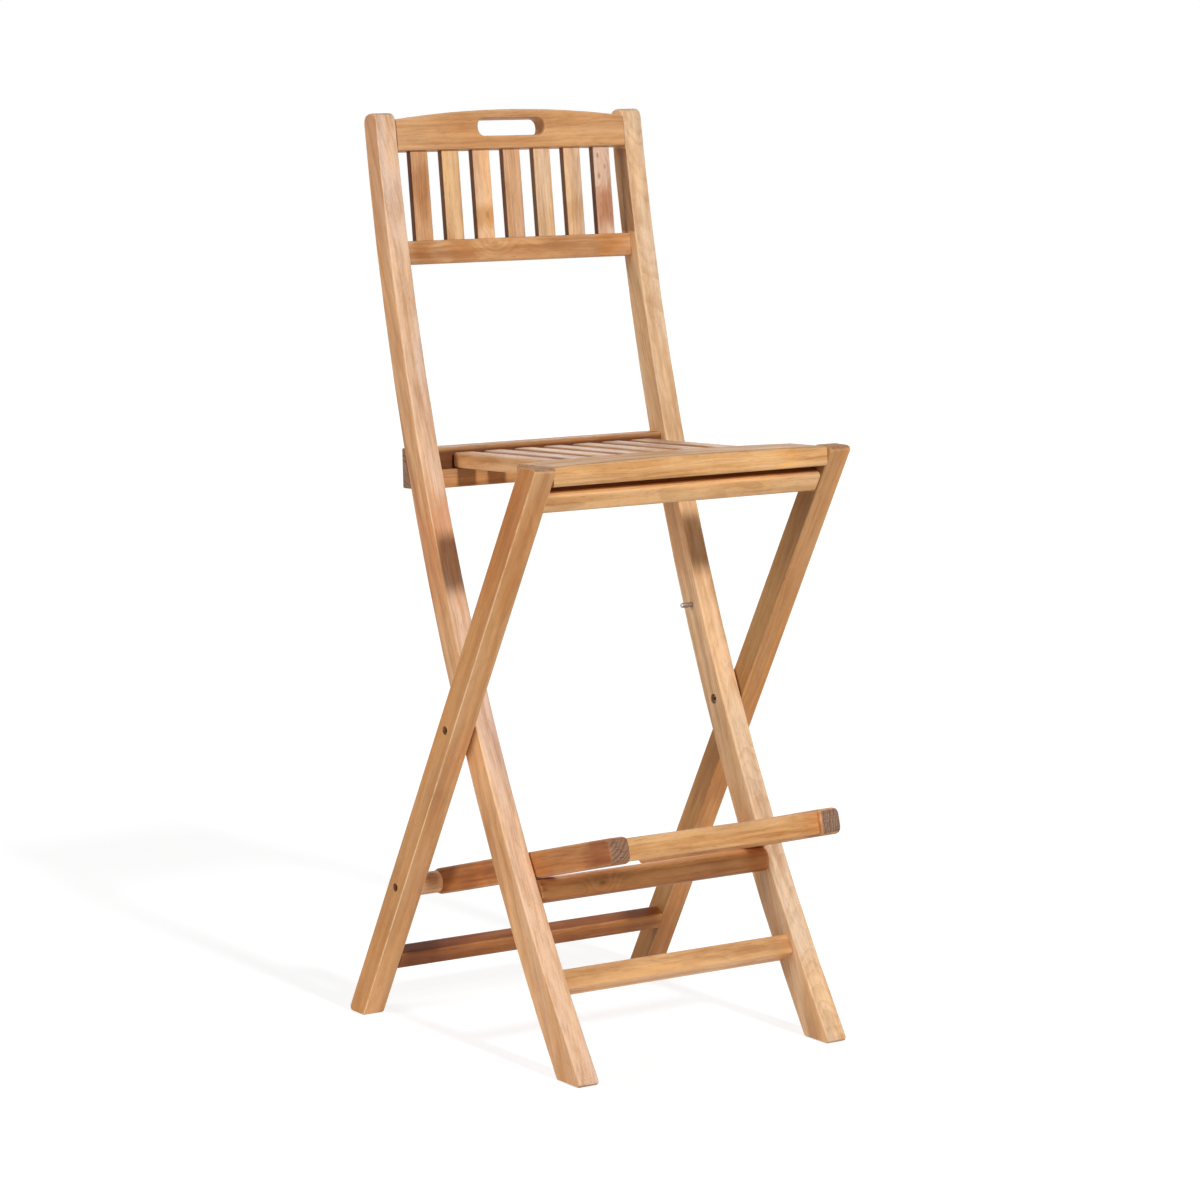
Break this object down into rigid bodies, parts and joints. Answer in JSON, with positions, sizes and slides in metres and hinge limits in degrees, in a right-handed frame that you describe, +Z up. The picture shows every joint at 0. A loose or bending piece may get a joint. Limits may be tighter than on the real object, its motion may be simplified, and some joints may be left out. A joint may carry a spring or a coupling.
{
  "type": "folding bar stool",
  "caption": "Teak folding bar chair: two crossed frames on a bolted pivot, slatted seat and back, arched crest rail with a hand slot, and a hinged footrest.",
  "frame": {"origin": "on the floor under the middle of the open chair", "axes": "+Z up, the sitter faces -Y, +X to the right as seen from the front"},
  "size_m": [0.4674, 0.5096, 1.1513],
  "materials": {
    "teak": "oiled satin teak",
    "steel": "satin stainless"
  },
  "bodies": {
    "back": {"back_post_left": "teak", "back_post_right": "teak", "crest_rail": "teak", "lower_back_rail": "teak", "back_slat_1": "teak", "back_slat_2": "teak", "back_slat_3": "teak", "back_slat_4": "teak", "back_slat_5": "teak", "back_slat_6": "teak", "back_slat_7": "teak", "footrest_support_rail": "teak", "front_stretcher": "teak", "stop_pin_left": "steel", "stop_pin_right": "steel", "seat_rear_crossbar": "teak", "crossbar_screw_left": "steel", "crossbar_screw_right": "steel"},
    "legs": {"leg_left": "teak", "leg_right": "teak", "upper_leg_rail": "teak", "rear_stretcher": "teak", "main_pivot_bolt_left": "steel", "main_pivot_bolt_right": "steel", "main_pivot_nut_left": "steel", "main_pivot_nut_right": "steel", "main_pivot_washer_left": "steel", "main_pivot_washer_right": "steel", "seat_hinge_pin_left": "steel", "seat_hinge_pin_right": "steel", "footrest_hinge_bolt_left": "steel", "footrest_hinge_bolt_right": "steel"},
    "seat": {"seat_front_rail": "teak", "seat_slat_1": "teak", "seat_slat_2": "teak", "seat_slat_3": "teak", "seat_slat_4": "teak", "seat_slat_5": "teak", "seat_slat_6": "teak", "seat_slat_7": "teak"},
    "footrest": {"footrest_arm_left": "teak", "footrest_arm_right": "teak", "footrest_bar": "teak", "footrest_spacer_left": "teak", "footrest_spacer_right": "teak"}
  },
  "joints": [
    {"name": "fold", "type": "hinge", "parent": "back", "child": "legs", "pos_m": [0, 0.01735, 0.402], "axis": [-1, 0, 0], "range_deg": [0, 44]},
    {"name": "seat_lift", "type": "hinge", "parent": "legs", "child": "seat", "pos_m": [0, -0.16352, 0.731], "axis": [1, 0, 0], "range_deg": [0, 132]},
    {"name": "footrest_swing", "type": "hinge", "parent": "legs", "child": "footrest", "pos_m": [0, 0.13779, 0.18292], "axis": [-1, 0, 0], "range_deg": [0, 44.9]}
  ],
  "couplings": [
    {"joint": "seat_lift", "follows": "fold", "ratio": 3},
    {"joint": "footrest_swing", "follows": "fold", "ratio": 1.02}
  ]
}
